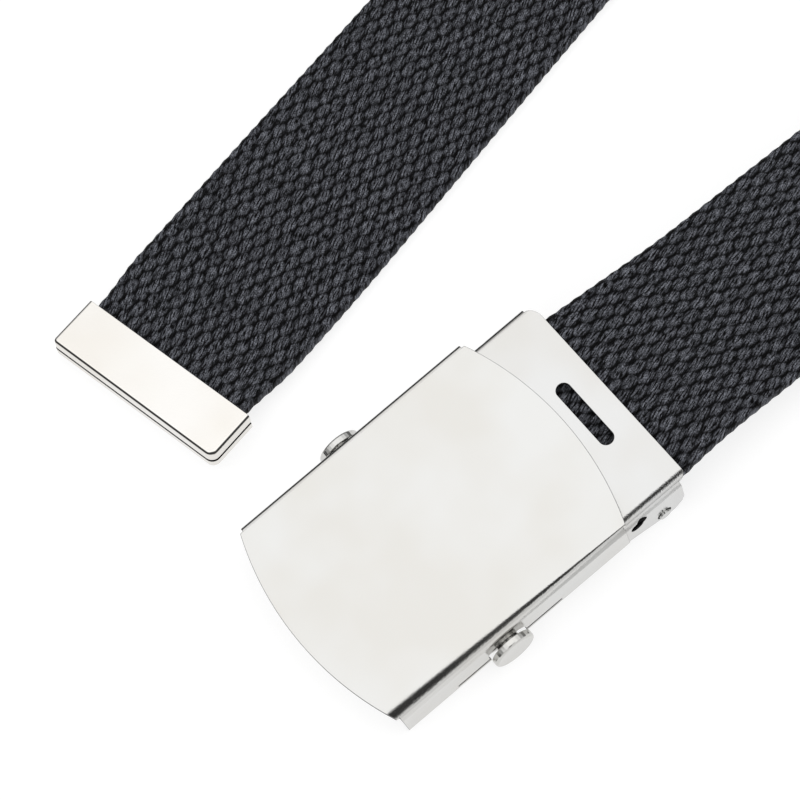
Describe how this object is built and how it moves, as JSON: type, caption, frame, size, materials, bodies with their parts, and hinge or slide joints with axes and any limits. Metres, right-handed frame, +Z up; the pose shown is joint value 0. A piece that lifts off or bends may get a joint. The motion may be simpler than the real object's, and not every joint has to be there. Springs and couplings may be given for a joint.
{
  "type": "military web belt",
  "caption": "web belt laid open in a loop: cotton webbing with a folded metal tip at one end and a friction buckle with a flat cover and a sliding grip roller at the other",
  "frame": {"origin": "middle of the bounding box's base, on the floor that the belt lies on", "axes": "+Z up, +X from the two ends of the belt to its far turn"},
  "size_m": [0.521, 0.1482, 0.0377],
  "materials": {
    "webbing": "charcoal grey woven cotton",
    "nickel": "bright nickel plate with fine wear"
  },
  "bodies": {
    "belt": {"belt_strap": "webbing", "belt_tip": "nickel", "buckle_cover": "nickel", "buckle_frame": "nickel", "strap_clamp": "nickel"},
    "roller": {"grip_roller": "nickel"}
  },
  "joints": [
    {"name": "roller_slide", "type": "slide", "parent": "belt", "child": "roller", "axis": [-0.9919, 0.1051, 0.0713], "range_m": [0, 0.0017]}
  ]
}
